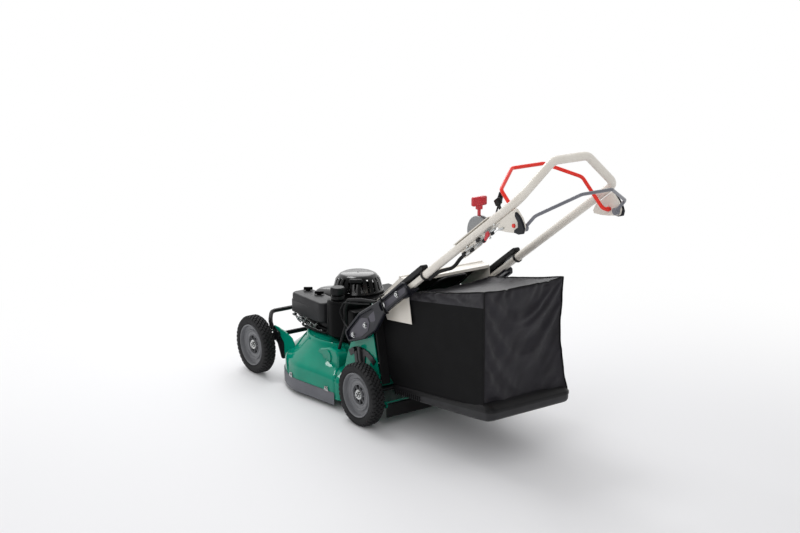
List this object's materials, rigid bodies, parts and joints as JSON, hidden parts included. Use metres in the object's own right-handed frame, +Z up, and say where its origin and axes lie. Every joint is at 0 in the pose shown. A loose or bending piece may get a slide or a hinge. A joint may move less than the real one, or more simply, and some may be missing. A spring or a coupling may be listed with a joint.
{
  "type": "self-propelled lawn mower",
  "caption": "Rotary walk-behind lawn mower: domed deck with a vertical-shaft engine, driven rear wheels, rear grass bag and folding handle with control bails.",
  "frame": {"origin": "on the ground under the middle of the mower's length and width", "axes": "+X is the mower's left, -Y its front, +Z up"},
  "size_m": [0.58, 1.7208, 1.0594],
  "materials": {
    "teal_enamel": "gloss enamel over pressed steel",
    "cream_enamel": "semi-gloss enamel over steel tube and sheet",
    "red_enamel": "enamel over steel rod",
    "grey_enamel": "enamel over steel rod",
    "anthracite_enamel": "fine-textured enamel over a casting",
    "black_steel": "black enamel over steel",
    "zinc_plate": "zinc plating",
    "blade_steel": "heat-treated steel",
    "cast_aluminium": "as cast",
    "black_plastic": "fine-textured moulding",
    "red_plastic": "smooth moulding",
    "grey_plastic": "moulding",
    "wheel_plastic": "moulding",
    "tyre_rubber": "ribbed tread",
    "skirt_rubber": "smooth",
    "bag_fabric": "coated woven fabric"
  },
  "bodies": {
    "deck": {"deck_shell": "teal_enamel", "front_bumper": "black_steel", "front_guard_tube": "black_steel", "rear_height_sector": "black_steel", "drive_case": "teal_enamel", "gearbox": "cast_aluminium", "engine_block": "cast_aluminium", "blower_housing": "black_plastic", "recoil_cover": "black_plastic", "fuel_tank": "black_plastic", "fuel_cap": "black_plastic", "air_cleaner_case": "black_plastic", "air_cleaner_lid": "black_plastic", "carburettor": "cast_aluminium", "muffler": "black_steel", "spark_plug_cap": "skirt_rubber", "handle_bracket_left": "anthracite_enamel", "handle_bracket_right": "anthracite_enamel", "pivot_bolt_left": "zinc_plate", "pivot_bolt_right": "zinc_plate", "cover_hinge_pin": "zinc_plate", "deck_cables": "black_plastic"},
    "crankshaft_assembly": {"crankshaft": "blade_steel", "flywheel_fan": "cast_aluminium", "blade_adapter": "blade_steel", "blade": "blade_steel"},
    "starter_pull": {"starter_grip": "black_plastic"},
    "front_axle_assembly": {"front_axle": "black_steel", "front_height_lever": "black_steel"},
    "rear_axle_assembly": {"rear_axle": "black_steel", "rear_height_lever": "black_steel"},
    "drive_shaft_assembly": {"drive_shaft": "blade_steel"},
    "handle": {"handle_bar": "cream_enamel", "handle_lower_tube_left": "cream_enamel", "handle_lower_tube_right": "cream_enamel", "lever_bracket_left": "cream_enamel", "lever_bracket_right": "cream_enamel", "console_plate": "cream_enamel", "throttle_housing": "grey_plastic", "handle_cables": "black_plastic"},
    "left_latch": {"fold_latch_left": "black_plastic"},
    "right_latch": {"fold_latch_right": "black_plastic"},
    "brake_bail": {"blade_brake_bail": "red_enamel"},
    "drive_bail_rod": {"drive_bail": "grey_enamel"},
    "throttle": {"throttle_lever": "red_plastic"},
    "drive_engagement": {"drive_lever": "black_plastic"},
    "speed_selector": {"speed_lever": "black_plastic"},
    "discharge_cover": {"rear_cover": "cream_enamel"},
    "grass_bag": {"bag_frame": "black_steel", "bag_cloth": "bag_fabric", "bag_tray": "black_plastic"},
    "rear_skirt": {"trailing_skirt": "skirt_rubber"},
    "front_left_wheel_assembly": {"front_left_tyre": "tyre_rubber", "front_left_wheel": "wheel_plastic"},
    "front_right_wheel_assembly": {"front_right_tyre": "tyre_rubber", "front_right_wheel": "wheel_plastic"},
    "rear_left_wheel_assembly": {"rear_left_tyre": "tyre_rubber", "rear_left_wheel": "wheel_plastic"},
    "rear_right_wheel_assembly": {"rear_right_tyre": "tyre_rubber", "rear_right_wheel": "wheel_plastic"}
  },
  "joints": [
    {"name": "crankshaft_spin", "type": "hinge", "parent": "deck", "child": "crankshaft_assembly", "pos_m": [0, -0.42749, 0.068], "axis": [0, 0, 1], "continuous": true},
    {"name": "starter_grip_pull", "type": "slide", "parent": "deck", "child": "starter_pull", "axis": [0, 0.809, 0.5878], "range_m": [0, 0.4], "stiffness_N_per_m": 8, "springref_m": -0.05},
    {"name": "front_height", "type": "hinge", "parent": "deck", "child": "front_axle_assembly", "pos_m": [0, -0.64749, 0.17], "axis": [1, 0, 0], "range_deg": [0, 26]},
    {"name": "rear_height", "type": "hinge", "parent": "deck", "child": "rear_axle_assembly", "pos_m": [0, -0.10249, 0.118], "axis": [-1, 0, 0], "range_deg": [0, 29.8]},
    {"name": "drive_shaft_spin", "type": "hinge", "parent": "deck", "child": "drive_shaft_assembly", "pos_m": [0, -0.10249, 0.118], "axis": [1, 0, 0], "continuous": true},
    {"name": "front_left_wheel_spin", "type": "hinge", "parent": "front_axle_assembly", "child": "front_left_wheel_assembly", "pos_m": [0.264, -0.74649, 0.11402], "axis": [1, 0, 0], "continuous": true},
    {"name": "front_right_wheel_spin", "type": "hinge", "parent": "front_axle_assembly", "child": "front_right_wheel_assembly", "pos_m": [-0.264, -0.74649, 0.11402], "axis": [1, 0, 0], "continuous": true},
    {"name": "rear_left_wheel_spin", "type": "hinge", "parent": "rear_axle_assembly", "child": "rear_left_wheel_assembly", "pos_m": [0.264, -0.02749, 0.11402], "axis": [1, 0, 0], "continuous": true},
    {"name": "rear_right_wheel_spin", "type": "hinge", "parent": "rear_axle_assembly", "child": "rear_right_wheel_assembly", "pos_m": [-0.264, -0.02749, 0.11402], "axis": [1, 0, 0], "continuous": true},
    {"name": "handle_fold", "type": "hinge", "parent": "deck", "child": "handle", "pos_m": [0, 0.05851, 0.4545], "axis": [1, 0, 0], "range_deg": [0, 105]},
    {"name": "left_latch_release", "type": "hinge", "parent": "handle", "child": "left_latch", "pos_m": [0.2, 0.25074, 0.62544], "axis": [-1, 0, 0], "range_deg": [0, 8]},
    {"name": "right_latch_release", "type": "hinge", "parent": "handle", "child": "right_latch", "pos_m": [-0.2, 0.25074, 0.62544], "axis": [-1, 0, 0], "range_deg": [0, 8]},
    {"name": "blade_brake_bail_swing", "type": "hinge", "parent": "handle", "child": "brake_bail", "pos_m": [0, 0.70951, 0.855], "axis": [-1, 0, 0], "range_deg": [0, 44]},
    {"name": "drive_bail_swing", "type": "hinge", "parent": "handle", "child": "drive_bail_rod", "pos_m": [0, 0.74451, 0.854], "axis": [1, 0, 0], "range_deg": [0, 42]},
    {"name": "throttle_swing", "type": "hinge", "parent": "handle", "child": "throttle", "pos_m": [0.149, 0.47393, 0.79291], "axis": [1, 0, 0], "range_deg": [-22, 22]},
    {"name": "drive_lever_swing", "type": "hinge", "parent": "handle", "child": "drive_engagement", "pos_m": [0.11, 0.48763, 0.77406], "axis": [1, 0, 0], "range_deg": [-6, 30]},
    {"name": "speed_lever_swing", "type": "hinge", "parent": "handle", "child": "speed_selector", "pos_m": [0.131, 0.57905, 0.84048], "axis": [1, 0, 0], "range_deg": [-12, 12]},
    {"name": "rear_cover_swing", "type": "hinge", "parent": "deck", "child": "discharge_cover", "pos_m": [0, -0.06349, 0.4203], "axis": [1, 0, 0], "range_deg": [0, 100]},
    {"name": "grass_bag_lift_off", "type": "slide", "parent": "deck", "child": "grass_bag", "axis": [0, 0.9962, 0.0872], "range_m": [0, 0.3]},
    {"name": "trailing_skirt_swing", "type": "hinge", "parent": "deck", "child": "rear_skirt", "pos_m": [0, 0.03651, 0.076], "axis": [1, 0, 0], "range_deg": [-15, 60]}
  ]
}
